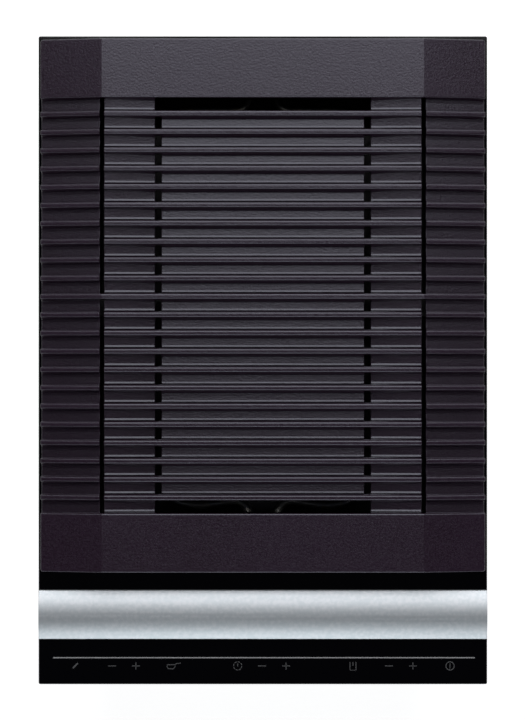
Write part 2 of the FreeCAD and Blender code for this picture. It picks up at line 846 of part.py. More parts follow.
def make_casing():
    top = "seal_thickness"
    tub = casing_form("casing_outside", "0", "casing_under", top)
    flange = casing_form("casing_rim", "casing_flange", f"{top} - casing_wall", top)
    room = casing_form("casing_inside", "-casing_wall", "casing_floor", top)
    cuts = [room]
    cuts.append(box("cover_opening", "-cover_half + cover_lap", "cover_half - cover_lap",
                    "cover_front + cover_lap", "cover_back - cover_lap", "casing_under", "casing_floor"))
    cuts.append(cylinder("casing_drain_hole", "0", "drain_y", "casing_under",
                         "spigot_radius + 2 * casing_wall", "casing_wall"))
    for index, (across, along) in enumerate(cover_screw_places()):
        cuts.append(cylinder(f"casing_screw_hole_{index}", across, along, "casing_under", "screw_radius",
                             "casing_wall"))
    for index in range(int(size("vent_count"))):
        low = f"casing_floor + vent_pitch * {index + 1}"
        cuts.append(box(f"vent_{index}", "-casing_x", "casing_x", "cover_front",
                        "cover_front + vent_length", low, f"{low} + vent_height"))
    node(cut("casing_cut", fuse("casing_form", tub, flange), *cuts), "casing")


def make_heat_shield():
    body = new_body("heat_shield")
    section = new_sketch(body, "shield_section", "YZ", "-casing_x + casing_wall")
    back = "shield_y"
    front = f"{back} - casing_wall"
    foot = f"{front} - shield_foot"
    top = "seal_thickness"
    outline(section, [
        (foot, "casing_floor"), (back, "casing_floor"), (back, top), (foot, top),
        (foot, f"{top} - casing_wall"), (front, f"{top} - casing_wall"),
        (front, "casing_floor + casing_wall"), (foot, "casing_floor + casing_wall")])
    pad(body, "shield_pad", section, "casing_width - 2 * casing_wall")


def make_base_cover():
    body = new_body("base_cover")
    plan = new_sketch(body, "cover_plan", "XY", "cover_under")
    rectangle(plan, "-cover_half", "cover_half", "cover_front", "cover_back", "screw_head")
    circle(plan, "gland_x", "cover_y", "gland_radius")
    for across, along in cover_screw_places():
        circle(plan, across, along, "screw_radius")
    pad(body, "cover_pad", plan, "cover_thickness")


def make_cover_screws():
    screws = []
    for across, along in cover_screw_places():
        head = hexagon_shape(across, along, "cover_under - screw_head_height", "screw_head",
                             "screw_head_height")
        shank = rod(across, along, "cover_under", "screw_radius", "cover_thickness + 3 * casing_wall")
        screws.append(head.fuse(shank))
    shaped("cover_screws", Part.makeCompound(screws))


def hexagon(name, x, y, z, radius, height, direction=V(0, 0, 1)):
    made = doc.addObject("Part::Prism", name)
    made.Polygon = 6
    made.Placement = FreeCAD.Placement(V(), FreeCAD.Rotation(V(0, 0, 1), direction))
    return bind(made, x=x, y=y, z=z, Circumradius=radius, Height=height)


def hexagon_shape(x, y, z, radius, height):
    """A hexagonal prism shape from expressions, for groups of screws and spacers."""
    centre = V(size(x), size(y), size(z))
    corners = [centre + FreeCAD.Rotation(V(0, 0, 1), 60 * turn).multVec(V(size(radius), 0, 0))
               for turn in range(7)]
    return Part.Face(Part.makePolygon(corners)).extrude(V(0, 0, size(height)))


def make_cable_gland():
    head = hexagon("gland_head", "gland_x", "cover_y", "cover_under - gland_length / 2",
                   "gland_nut_radius", "gland_length / 2")
    shank = cylinder("gland_shank", "gland_x", "cover_y", "cover_under", "gland_radius", "gland_length / 2")
    bore = cylinder("gland_bore_rod", "gland_x", "cover_y", "cover_under - gland_length / 2", "gland_bore",
                    "gland_length")
    node(cut("gland_cut", fuse("gland_form", head, shank), bore), "cable_gland")
    nut = hexagon("gland_nut_blank", "gland_x", "cover_y", "casing_under", "gland_nut_radius",
                  "gland_nut_height")
    hole = cylinder("gland_nut_hole", "gland_x", "cover_y", "casing_under", "gland_radius",
                    "gland_nut_height")
    node(cut("gland_nut_cut", nut, hole), "gland_nut")


# Drain: strainer, spigot through the well's floor, and a plug cock below the casing


def make_strainer():
    disc = cylinder("strainer_disc", "0", "drain_y", "spigot_top", "strainer_radius", "strainer_sheet")
    knob = cylinder("strainer_knob_rod", "0", "drain_y", "spigot_top", "strainer_knob",
                    "strainer_sheet + strainer_knob_height")
    slots = []
    count = int(size("strainer_slots"))
    for index in range(count):
        slot = doc.addObject("Part::Box", f"strainer_slot_{index}")
        turn = 360 * index / count
        slot.Placement = FreeCAD.Placement(V(), FreeCAD.Rotation(V(0, 0, 1), turn))
        across = math.cos(math.radians(turn))
        along = math.sin(math.radians(turn))
        near = "strainer_knob + 2 * strainer_sheet"
        bind(slot, x=f"({near}) * {across} + strainer_sheet * {along}",
             y=f"drain_y + ({near}) * {along} - strainer_sheet * {across}", z="spigot_top",
             Length=f"spigot_bore - ({near})", Width="2 * strainer_sheet", Height="strainer_sheet")
        slots.append(slot)
    node(cut("strainer_cut", fuse("strainer_form", disc, knob), *slots), "drain_strainer")


def make_drain_spigot():
    flange = cylinder("spigot_flange_disc", "0", "drain_y", "-well_depth", "spigot_flange",
                      "spigot_flange_height")
    pipe = cylinder("spigot_pipe", "0", "drain_y", "spigot_end", "spigot_radius", "-well_depth - spigot_end")
    bore = cylinder("spigot_bore_rod", "0", "drain_y", "spigot_end", "spigot_bore", "spigot_top - spigot_end")
    node(cut("spigot_cut", fuse("spigot_form", flange, pipe), bore), "drain_spigot")
    washer = cylinder("washer_disc", "0", "drain_y", "nut_top", "spigot_radius + drain_washer_width",
                      "drain_washer")
    hole = cylinder("washer_hole", "0", "drain_y", "nut_top", "spigot_radius", "drain_washer")
    node(cut("washer_cut", washer, hole), "drain_washer_ring")
    nut = hexagon("drain_nut_blank", "0", "drain_y", "nut_top - drain_nut_height", "drain_nut_radius",
                  "drain_nut_height")
    nut_hole = cylinder("drain_nut_hole", "0", "drain_y", "nut_top - drain_nut_height", "spigot_radius",
                        "drain_nut_height")
    node(cut("drain_nut_cut", nut, nut_hole), "drain_nut")


def make_valve():
    """A plug cock: its plug turns a quarter, from a bore across the flow to a bore along it."""
    barrel = cylinder("valve_barrel", "0", "drain_y", "valve_end", "valve_radius", "valve_height")
    boss = cylinder("valve_boss", "0", "boss_face", "plug_z", "boss_radius", "valve_radius + boss_length", "y")
    socket = cylinder("valve_socket", "0", "drain_y", "spigot_end", "spigot_radius", "valve_top - spigot_end")
    way = cylinder("valve_way", "0", "drain_y", "valve_end", "plug_bore", "spigot_end - valve_end")
    thread = cylinder("valve_thread", "0", "drain_y", "valve_end", "tail_radius", "tail_thread")
    room = cylinder("valve_room", "0", "boss_face", "plug_z", "plug_radius + plug_gap",
                    "drain_y + plug_reach - boss_face", "y")
    node(cut("valve_cut", fuse("valve_form", barrel, boss), socket, way, thread, room), "valve_body")
    plug_end = "drain_y + plug_reach - lever_gap"
    plug = cylinder("plug_form", "0", "boss_face", "plug_z", "plug_radius", f"{plug_end} - boss_face", "y")
    stem_start = "lever_back - lever_thickness - stem_radius"
    stem = cylinder("plug_stem", "0", stem_start, "plug_z", "stem_radius", f"drain_y - ({stem_start})", "y")
    bore = cylinder("plug_way", "-plug_radius", "drain_y", "plug_z", "plug_bore", "2 * plug_radius", "x")
    node(cut("plug_cut", fuse("plug_and_stem", plug, stem), bore), "valve_plug")
    nut = hexagon("plug_nut_blank", "0", "boss_face", "plug_z", "plug_nut_radius", "plug_nut_height", V(0, -1, 0))
    hole = cylinder("plug_nut_hole", "0", "boss_face - plug_nut_height", "plug_z", "stem_radius + plug_gap",
                    "plug_nut_height", "y")
    node(cut("plug_nut_cut", nut, hole), "plug_nut")
    tail_low = "valve_end - tail_flange - outlet_length"
    thread_form = cylinder("tail_thread_form", "0", "drain_y", "valve_end", "tail_radius", "tail_thread")
    flange = hexagon("tail_hexagon", "0", "drain_y", "valve_end - tail_flange", "valve_radius", "tail_flange")
    pipe = cylinder("tail_pipe", "0", "drain_y", tail_low, "outlet_radius", "outlet_length")
    inside = cylinder("tail_bore", "0", "drain_y", tail_low, "outlet_bore",
                      "outlet_length + tail_flange + tail_thread")
    node(cut("tail_cut", fuse("tail_form", thread_form, flange, pipe), inside), "drain_outlet")


def make_lever():
    face = "lever_back - lever_thickness"
    half = "lever_width / 2"
    arm = box("lever_arm", "0", f"lever_length - {half}", face, "lever_back", f"plug_z - {half}",
              f"plug_z + {half}")
    root = cylinder("lever_root", "0", face, "plug_z", half, "lever_thickness", "y")
    tip = cylinder("lever_tip", f"lever_length - {half}", face, "plug_z", half, "lever_thickness", "y")
    hole = cylinder("lever_hole", "0", face, "plug_z", "stem_radius", "lever_thickness", "y")
    node(cut("lever_cut", fuse("lever_form", arm, root, tip), hole), "drain_lever")
    sleeve = box("grip_block", "lever_length - grip_length", "lever_length + grip_wall",
                 f"{face} - grip_wall", "lever_back + grip_wall", f"plug_z - {half} - grip_wall",
                 f"plug_z + {half} + grip_wall")
    inside = fuse("grip_room", box("grip_arm_room", "0", f"lever_length - {half}", face, "lever_back",
                                   f"plug_z - {half}", f"plug_z + {half}"),
                  cylinder("grip_tip_room", f"lever_length - {half}", face, "plug_z", half,
                           "lever_thickness", "y"))
    node(cut("grip_cut", sleeve, inside), "lever_grip")


# Trim bar and touch strip


def make_trim_bar():
    body = new_body("trim_bar")
    section = new_sketch(body, "bar_section", "YZ", "-bar_length / 2")
    low = "glass_top + bar_gap"
    edge = f"{low} + bar_edge"
    groove = "glass_top + adhesive"
    front = "-bar_front"
    back = "-bar_front + bar_width"
    points = [(front, low)]
    for start in (f"{front} + adhesive_width / 2", f"{back} - adhesive_width * 1.5"):
        stop = f"{start} + adhesive_width"
        points += [(start, low), (start, groove), (stop, groove), (stop, low)]
    points += [(back, low), (back, edge, "bar_crown"), (front, edge)]
    outline(section, points)
    pad(body, "bar_pad", section, "bar_length")
    for name, start in (("front_adhesive", f"{front} + adhesive_width / 2"),
                        ("back_adhesive", f"{back} - adhesive_width * 1.5")):
        strip = box(name + "_strip", "-panel_width / 2 + panel_bevel", "panel_width / 2 - panel_bevel",
                    start, f"{start} + adhesive_width", "glass_top", groove)
        node(strip, name)


def make_touch_strip():
    wall_y = "-casing_front + casing_wall"
    front = f"{wall_y} + carrier_margin"
    back = f"{front} + touch_board_depth"
    half = "touch_board_width / 2"
    board = box("touch_board_sheet", f"-{half}", half, front, back, "board_under", "board_top")
    node(board, "touch_board")
    low = "board_under - carrier_height"
    outer = doc.addObject("PartDesign::Body", "carrier_block")
    plan = new_sketch(outer, "carrier_plan", "XY", low)
    rectangle(plan, f"-{half} - carrier_margin", f"{half} + carrier_margin", wall_y,
              f"{back} + carrier_margin", "casing_corner - casing_wall")
    pad(outer, "carrier_pad", plan, f"seal_thickness - ({low})")
    upper = box("carrier_room", f"-{half}", half, front, back, "board_under", "seal_thickness")
    inset = "carrier_wall"
    lower = box("carrier_well", f"-{half} + {inset}", f"{half} - {inset}", f"{front} + {inset}",
                f"{back} - {inset}", f"{low} + {inset}", "board_under")
    ribbon_y = f"{back} - ribbon_inset"
    slot = box("carrier_slot", "-ribbon_width / 2 - carrier_wall", "ribbon_width / 2 + carrier_wall",
               f"{ribbon_y} - carrier_wall", f"{ribbon_y} + ribbon_thickness + carrier_wall", low,
               f"{low} + {inset}")
    node(cut("carrier_cut", outer, upper, lower, slot), "touch_carrier")
    strip = box("ribbon_strip", "-ribbon_width / 2", "ribbon_width / 2", ribbon_y,
                f"{ribbon_y} + ribbon_thickness", "power_board_top", "board_under")
    node(strip, "ribbon_cable")
    places = ["-2 * touch_step", "0", "2 * touch_step"]
    for sign in ("-", ""):
        places += [f"{sign}touch_far", f"{sign}(touch_pair - touch_step)", f"{sign}(touch_pair + touch_step)",
                   f"{sign}touch_near"]
    half_pad = "touch_pad / 2"
    pads = [block(f"{x} - {half_pad}", f"{x} + {half_pad}", f"-touch_y - {half_pad}", f"-touch_y + {half_pad}",
                  "board_top", "seal_thickness") for x in places]
    shaped("touch_pads", Part.makeCompound(pads))
    display_y = "-touch_y + touch_pad"
    modules = [block(f"{x} - display_width / 2", f"{x} + display_width / 2", display_y,
                     f"{display_y} + display_depth", "board_top", "seal_thickness")
               for x in ("-touch_pair", "0", "touch_pair")]
    shaped("displays", Part.makeCompound(modules))


def make_power_board():
    left = "-power_board_shift - power_board_width / 2"
    right = "-power_board_shift + power_board_width / 2"
    low = "cover_y - power_board_depth / 2"
    high = "cover_y + power_board_depth / 2"
    node(box("power_board_sheet", left, right, low, high, "power_board_z", "power_board_top"), "power_board")
    spacers = [hexagon_shape(x, y, "casing_under", "spacer_radius", "spacer_height")
               for x in (f"{left} + spacer_inset", f"{right} - spacer_inset")
               for y in (f"{low} + spacer_inset", f"{high} - spacer_inset")]
    shaped("board_spacers", Part.makeCompound(spacers))
    relays = []
    for index in range(int(size("relay_count"))):
        start = f"{left} + spacer_inset + {index} * relay_pitch"
        relays.append(block(start, f"{start} + relay_width", "cover_y - relay_depth / 2",
                            "cover_y + relay_depth / 2", "power_board_top", "power_board_top + relay_height"))
    shaped("relays", Part.makeCompound(relays))
    terminal = box("terminal_form", f"{right} - terminal_width", right, "cover_y - terminal_depth / 2",
                   "cover_y + terminal_depth / 2", "power_board_top", "power_board_top + terminal_height")
    wells = []
    for index in range(4):
        across = f"{right} - terminal_width * {2 * index + 1} / 8"
        wells.append(box(f"terminal_well_{index}", f"{across} - screw_head", f"{across} + screw_head",
                         "cover_y - screw_head", "cover_y + screw_head",
                         "power_board_top + terminal_height / 2", "power_board_top + terminal_height"))
    node(cut("terminal_cut", terminal, *wells), "terminal_block")


def make_thermostat():
    start = "well_front - well_wall - shield_gap + casing_wall"
    disc = cylinder("thermostat_disc", "drain_row_half", start, "-well_depth / 2", "thermostat_radius",
                    "well_front - well_wall - (" + start + ")", "y")
    node(disc, "well_thermostat")


# Clamps that pull the panel down on the worktop


def make_clamps():
    brackets = []
    screws = []
    top = "-clamp_top"
    low = "-clamp_top - clamp_height"
    for side, sign in (("left", -1), ("right", 1)):
        for place, along in (("front", "-clamp_spread"), ("back", "clamp_spread")):
            wall = size("casing_x") * sign
            x = size("clamp_x") * sign
            far = size("casing_x + clamp_reach") * sign
            sheet_x = size("casing_x + clamp_sheet") * sign
            y0 = f"{along} - clamp_width / 2"
            y1 = f"{along} + clamp_width / 2"
            spans = [(wall, sheet_x, low, top), (wall, far, f"{top} - clamp_sheet", top),
                     (wall, far, low, f"{low} + clamp_sheet")]
            plates = [block(min(start, end), max(start, end), y0, y1, z0, z1) for start, end, z0, z1 in spans]
            bracket = plates[0].fuse(plates[1:]).removeSplitter()
            bracket = bracket.cut(rod(x, along, low, "clamp_screw", "clamp_height"))
            brackets.append(bracket)
            shank = rod(x, along, low, "clamp_screw", "clamp_height + clamp_screw_tail")
            head = rod(x, along, f"{low} - clamp_screw_head", "clamp_screw_head", "clamp_screw_head")
            screws.append(shank.fuse(head).removeSplitter())
            make_claw(f"{place}_{side}_claw", x, along)
    shaped("clamp_brackets", Part.makeCompound(brackets))
    shaped("clamp_screws", Part.makeCompound(screws))


def make_claw(name, x, along):
    """A claw on its screw, lying along the casing's wall until it is swung out."""
    half = "claw_width / 2"
    boss = cylinder(name + "_boss", x, along, "claw_z", half, "claw_height")
    arm = box(name + "_arm", f"{x} - {half}", f"{x} + {half}", along, f"{along} + claw_length", "claw_z",
              "claw_z + claw_height")
    bore = cylinder(name + "_bore", x, along, "claw_z", "clamp_screw + claw_gap", "claw_height")
    node(cut(name + "_cut", fuse(name + "_form", boss, arm), bore), name)


make_worktop_seal()
make_glass_panel()
make_well()
make_well_gasket()
make_grate()
make_heater("front_heater", False)
make_heater("rear_heater", True)
make_heater_mount("front_heater", False)
make_heater_mount("rear_heater", True)
make_heater_support()
make_casing()
make_heat_shield()
make_base_cover()
make_cover_screws()
make_cable_gland()
make_strainer()
make_drain_spigot()
make_valve()
make_lever()
make_trim_bar()
make_touch_strip()
make_power_board()
make_thermostat()
make_clamps()
doc.recompute()

failed = [thing.Name for thing in doc.Objects if "Invalid" in thing.State or "Error" in thing.State]
if failed:
    raise RuntimeError(f"these could not be made: {failed}")
for thing in NODES:
    if thing.Shape.isNull() or not thing.Shape.isValid():
        raise RuntimeError(f"{thing.Label} has no valid shape")

os.makedirs("parts", exist_ok=True)
for thing in NODES:
    thing.Shape.exportStep(f"parts/{thing.Label}.step")
    print(f"{thing.Label}: {len(thing.Shape.Solids)} solid(s), {thing.Shape.Volume / 1000:.2f} cm3")
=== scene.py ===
# The looks of a built-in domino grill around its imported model, seen from straight above.
# Metres. X is to the right, Y towards the back, Z up, and the origin is on the worktop's surface.
import json
import math

import bmesh
import bpy
from mathutils import Matrix, Vector

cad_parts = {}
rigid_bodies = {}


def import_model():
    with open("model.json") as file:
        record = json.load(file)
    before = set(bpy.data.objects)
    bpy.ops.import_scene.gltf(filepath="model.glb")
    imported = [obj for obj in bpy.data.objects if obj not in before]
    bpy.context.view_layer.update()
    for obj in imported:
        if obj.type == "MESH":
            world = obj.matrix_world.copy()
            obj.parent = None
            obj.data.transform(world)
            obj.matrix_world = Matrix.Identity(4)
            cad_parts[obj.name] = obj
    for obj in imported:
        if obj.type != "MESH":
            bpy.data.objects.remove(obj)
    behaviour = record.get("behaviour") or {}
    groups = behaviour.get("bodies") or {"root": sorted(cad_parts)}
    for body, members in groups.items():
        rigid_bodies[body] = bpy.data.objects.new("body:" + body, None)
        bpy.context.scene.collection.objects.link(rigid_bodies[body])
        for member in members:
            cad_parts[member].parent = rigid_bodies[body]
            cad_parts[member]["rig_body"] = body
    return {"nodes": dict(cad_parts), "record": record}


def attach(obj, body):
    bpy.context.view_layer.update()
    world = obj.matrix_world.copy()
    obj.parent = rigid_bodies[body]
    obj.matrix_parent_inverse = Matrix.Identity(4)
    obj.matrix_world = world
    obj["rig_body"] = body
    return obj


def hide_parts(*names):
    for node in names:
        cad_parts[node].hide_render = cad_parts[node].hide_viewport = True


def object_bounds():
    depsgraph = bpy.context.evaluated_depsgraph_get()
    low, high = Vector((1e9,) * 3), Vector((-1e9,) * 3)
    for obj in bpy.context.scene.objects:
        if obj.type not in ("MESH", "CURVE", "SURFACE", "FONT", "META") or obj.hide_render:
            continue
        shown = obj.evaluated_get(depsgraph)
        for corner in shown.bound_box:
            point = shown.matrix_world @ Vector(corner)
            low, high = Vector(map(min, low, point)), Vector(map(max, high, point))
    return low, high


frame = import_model()
NODES = frame["nodes"]
cad_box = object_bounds()

MM = 0.001
GLASS_TOP = 5.5 * MM
scene = bpy.context.scene
collection = scene.collection


# Camera and studio


def make_camera():
    """The photograph looks straight down from about two metres, a little left of the middle."""
    distance = 2.0
    frame_height = 577.8 * MM
    sensor = 36.0
    sideways = -0.3 * MM
    backward = 0.2 * MM
    data = bpy.data.cameras.new("camera")
    data.sensor_fit = "VERTICAL"
    data.sensor_height = sensor
    data.lens = sensor * distance / frame_height
    camera = bpy.data.objects.new("camera", data)
    camera.location = (sideways, backward, GLASS_TOP + distance)
    collection.objects.link(camera)
    scene.camera = camera


def softbox(name, near, far, width, middle, radiance, tint):
    """A soft lamp that faces the object. Its near and far edges are given as (y, z), its middle as x."""
    near_edge = Vector((middle, *near))
    far_edge = Vector((middle, *far))
    place = (near_edge + far_edge) / 2
    across = Vector((1, 0, 0))
    along = (far_edge - near_edge).normalized()
    if across.cross(along).dot(place) < 0:
        along = -along
    height = (far_edge - near_edge).length
    data = bpy.data.lights.new(name, "AREA")
    data.shape = "RECTANGLE"
    data.size = width
    data.size_y = height
    data.energy = radiance * math.pi * width * height
    data.color = tint
    lamp = bpy.data.objects.new(name, data)
    lamp.location = place
    lamp.rotation_euler = Matrix((across, along, across.cross(along))).transposed().to_euler()
    lamp.visible_camera = False
    collection.objects.link(lamp)


def make_world():
    """A studio that is pale round the horizon and dark overhead."""
    horizon = (0.9, 0.92, 0.94, 1)
    overhead = (0.02, 0.02, 0.026, 1)
    pale_below = 0.12
    dark_above = 0.5
    world = bpy.data.worlds.new("studio")
    scene.world = world
    world.use_nodes = True
    nodes = world.node_tree.nodes
    links = world.node_tree.links
    background = nodes["Background"]
    direction = nodes.new("ShaderNodeTexCoord").outputs["Generated"]
    split = nodes.new("ShaderNodeSeparateXYZ")
    links.new(direction, split.inputs[0])
    fade = nodes.new("ShaderNodeMapRange")
    fade.interpolation_type = "SMOOTHSTEP"
    fade.inputs["From Min"].default_value = pale_below
    fade.inputs["From Max"].default_value = dark_above
    links.new(split.outputs["Z"], fade.inputs["Value"])
    mix = nodes.new("ShaderNodeMix")
    mix.data_type = "RGBA"
    mix.inputs["A"].default_value = horizon
    mix.inputs["B"].default_value = overhead
    links.new(fade.outputs["Result"], mix.inputs["Factor"])
    links.new(mix.outputs["Result"], background.inputs["Color"])


def make_floor_material():
    """Pale to the camera, to gloss and through glass, and grey to the lamps, so that shadows stay."""
    material = bpy.data.materials.new("floor_white")
    material.use_nodes = True
    nodes = material.node_tree.nodes
    links = material.node_tree.links
    nodes.clear()
    diffuse = nodes.new("ShaderNodeBsdfDiffuse")
    diffuse.inputs["Color"].default_value = (0.3, 0.3, 0.3, 1)
    glow = nodes.new("ShaderNodeEmission")
    glow.inputs["Color"].default_value = (1, 1, 1, 1)
    path = nodes.new("ShaderNodeLightPath")
    seen = path.outputs["Is Camera Ray"]
    for ray in ("Is Glossy Ray", "Is Transmission Ray"):
        either = nodes.new("ShaderNodeMath")
        either.operation = "MAXIMUM"
        links.new(seen, either.inputs[0])
        links.new(path.outputs[ray], either.inputs[1])
        seen = either.outputs[0]
    share = nodes.new("ShaderNodeMath")
    share.operation = "MULTIPLY"
    share.inputs[1].default_value = 0.86
    links.new(seen, share.inputs[0])
    links.new(share.outputs[0], glow.inputs["Strength"])
    total = nodes.new("ShaderNodeAddShader")
    links.new(diffuse.outputs[0], total.inputs[0])
    links.new(glow.outputs[0], total.inputs[1])
    output = nodes.new("ShaderNodeOutputMaterial")
    links.new(total.outputs[0], output.inputs["Surface"])
    return material


def make_floor():
    """A white floor just below the drain."""
    reach = 12
    height = cad_box[0].z - 0.5 * MM
    corners = [(-reach, -reach), (reach, -reach), (reach, reach), (-reach, reach)]
    data = bpy.data.meshes.new("floor")
    data.from_pydata([(x, y, height) for x, y in corners], [], [(0, 1, 2, 3)])
    data.materials.append(make_floor_material())
    floor = bpy.data.objects.new("floor", data)
    collection.objects.link(floor)


def make_studio():
    scene.view_settings.view_transform = "Standard"
    make_world()
    make_floor()
    softbox("back_softbox", near=(0.626, 2.756), far=(2.73, 0.73), width=2.01, middle=0.09,
            radiance=4.05, tint=(1.0, 1.0, 1.02))
    softbox("front_softbox", near=(-1.77, 1.77), far=(-2.42, 0.65), width=1.56, middle=0,
            radiance=3.88, tint=(0.95, 1.0, 1.03))


# Materials


class Finish:
    """A procedural material, with short calls for the textures that drive it."""

    def __init__(self, name, colour, metallic=0.0, roughness=0.5, **constants):
        self.material = bpy.data.materials.new(name)
        self.material.use_nodes = True
        self.nodes = self.material.node_tree.nodes
        self.links = self.material.node_tree.links
        self.shader = self.nodes["Principled BSDF"]
        self.place = self.nodes.new("ShaderNodeTexCoord").outputs["Object"]
        self.normal = None
        self.set("Base Color", (*colour, 1))
        self.set("Metallic", metallic)
        self.set("Roughness", roughness)
        for socket, value in constants.items():
            self.set(socket.replace("_", " "), value)

    def set(self, socket, value):
        self.shader.inputs[socket].default_value = value

    def stretch(self, x, y, z):
        """Object coordinates scaled by axis, for brushed and drawn surfaces."""
        mapping = self.nodes.new("ShaderNodeMapping")
        mapping.inputs["Scale"].default_value = (x, y, z)
        self.links.new(self.place, mapping.inputs["Vector"])
        return mapping.outputs["Vector"]

    def noise(self, scale, detail=3.0, place=None):
        """Soft noise, whose grains measure about a metre divided by the scale."""
        made = self.nodes.new("ShaderNodeTexNoise")
        made.inputs["Scale"].default_value = scale
        made.inputs["Detail"].default_value = detail
        self.links.new(place or self.place, made.inputs["Vector"])
        return made.outputs["Fac"]

    def cells(self, scale, output="Distance", place=None, feature="F1"):
        """Irregular cells: the distance from their middles or edges, or a colour for each."""
        made = self.nodes.new("ShaderNodeTexVoronoi")
        made.feature = feature
        made.inputs["Scale"].default_value = scale
        self.links.new(place or self.place, made.inputs["Vector"])
        return made.outputs[output]

    def spread(self, source, low, high, first=0.3, last=0.7):
        """A texture's range from first to last, brought to the range from low to high."""
        made = self.nodes.new("ShaderNodeMapRange")
        for socket, value in (("From Min", first), ("From Max", last), ("To Min", low), ("To Max", high)):
            made.inputs[socket].default_value = value
        self.links.new(source, made.inputs["Value"])
        return made.outputs["Result"]

    def band(self, axis, start, width):
        """0 before a place along an axis and 1 behind it, or the reverse where the width is negative."""
        split = self.nodes.new("ShaderNodeSeparateXYZ")
        self.links.new(self.place, split.inputs[0])
        return self.spread(split.outputs[axis], 0, 1, start, start + width)

    def times(self, first, second):
        made = self.nodes.new("ShaderNodeMath")
        made.operation = "MULTIPLY"
        self.links.new(first, made.inputs[0])
        self.links.new(second, made.inputs[1])
        return made.outputs[0]

    def blend(self, factor, first, second):
        """From the first colour to the second one. Each is a colour or another node's output."""
        made = self.nodes.new("ShaderNodeMix")
        made.data_type = "RGBA"
        self.links.new(factor, made.inputs["Factor"])
        for socket, colour in (("A", first), ("B", second)):
            if isinstance(colour, tuple):
                made.inputs[socket].default_value = (*colour, 1)
            else:
                self.links.new(colour, made.inputs[socket])
        return made.outputs["Result"]

    def colour(self, source):
        self.links.new(source, self.shader.inputs["Base Color"])

    def rough(self, source, low, high, first=0.3, last=0.7):
        self.links.new(self.spread(source, low, high, first, last), self.shader.inputs["Roughness"])

    def bump(self, source, distance, strength=1.0):
        """Relief of that height in metres, on top of any relief before it."""
        made = self.nodes.new("ShaderNodeBump")
        made.inputs["Strength"].default_value = strength
        made.inputs["Distance"].default_value = distance
        self.links.new(source, made.inputs["Height"])
        if self.normal is not None:
            self.links.new(self.normal, made.inputs["Normal"])
        self.normal = made.outputs["Normal"]
        self.links.new(self.normal, self.shader.inputs["Normal"])

    def grain(self, axis):
        """Turn the shader's tangent round an axis, so that brushing runs along it."""
        made = self.nodes.new("ShaderNodeTangent")
        made.direction_type = "RADIAL"
        made.axis = axis
        self.links.new(made.outputs["Tangent"], self.shader.inputs["Tangent"])


def make_casting():
    """Enamel on a sand casting: a fine pebbled skin, patchy in tone, with a soft sheen."""
    front_rim = -122 * MM
    back_rim = 211 * MM
    fade = 2 * MM
    made = Finish("casting", (0.0125, 0.008, 0.0135), roughness=0.33)
    made.set("Specular Tint", (0.86, 0.89, 1.0, 1))
    made.set("Specular IOR Level", 0.542)
    patches = made.spread(made.noise(14, 3), 0, 1, 0.38, 0.62)
    skin = made.noise(600, 3)
    tone = made.blend(patches, (0.0073, 0.0015, 0.0055), (0.0093, 0.0028, 0.0085))
    made.colour(made.blend(made.spread(skin, 0, 1, 0.38, 0.62), tone, (0.0143, 0.0064, 0.0135)))
    made.rough(made.noise(900, 2), 0.28, 0.4, 0.35, 0.65)
    made.bump(skin, 0.16 * MM, 0.9)
    # Fine streaks along the channels, left by the pattern they were cast from
    between_rims = made.times(made.band("Y", front_rim, fade), made.band("Y", back_rim, -fade))
    streaks = made.noise(1, 2, made.stretch(9, 1300, 1300))
    made.bump(made.times(streaks, between_rims), 0.045 * MM, 0.9)
    return made


def make_panel_glass():
    """Black glass, hardly wavy, with faint smears."""
    made = Finish("panel_glass", (0.0004, 0.0004, 0.0007), roughness=0.04, IOR=1.52)
    made.rough(made.noise(9, 2), 0.025, 0.055)
    made.bump(made.noise(6, 1), 0.02 * MM, 0.2)
    return made


def make_bar_aluminium():
    """Aluminium brushed along its length, with a faint mottle."""
    made = Finish("bar_aluminium", (0.4, 0.415, 0.43), metallic=1, roughness=0.48, Anisotropic=0.25)
    lines = made.noise(1, 4, made.stretch(6, 2600, 2600))
    brushed = made.blend(made.spread(lines, 0, 1), (0.375, 0.39, 0.405), (0.43, 0.445, 0.46))
    mottle = made.spread(made.noise(330, 3), 0, 1, 0.42, 0.62)
    made.colour(made.blend(mottle, (0.36, 0.385, 0.4), brushed))
    made.rough(lines, 0.44, 0.52)
    made.bump(lines, 0.02 * MM, 0.25)
    made.grain("X")
    return made


def make_brushed(name, colour, low, high):
    """Drawn sheet: fine lines along X and broad cloudy patches."""
    made = Finish(name, colour, metallic=1, roughness=(low + high) / 2, Anisotropic=0.3)
    lines = made.noise(1, 3, made.stretch(9, 1500, 1500))
    clouds = made.spread(made.noise(18, 2), 0, 1, 0.35, 0.65)
    darker = tuple(part * 0.86 for part in colour)
    made.colour(made.blend(clouds, darker, colour))
    made.rough(lines, low, high)
    made.bump(lines, 0.012 * MM, 0.3)
    return made


def make_heater_steel(name, bare, scaled, stained):
    """Sheath metal that has glowed: bare metal, oxide scale in patches, and small yellowish stains."""
    made = Finish(name, bare, metallic=0.85, roughness=0.45)
    scale = made.spread(made.noise(55, 4), 0, 1, 0.4, 0.62)
    oxide = made.blend(scale, bare, scaled)
    spots = made.spread(made.noise(170, 3), 0, 1, 0.48, 0.68)
    made.colour(made.blend(spots, oxide, stained))
    made.rough(made.noise(240, 3), 0.34, 0.58)
    made.bump(made.noise(800, 2), 0.05 * MM, 0.3)
    return made


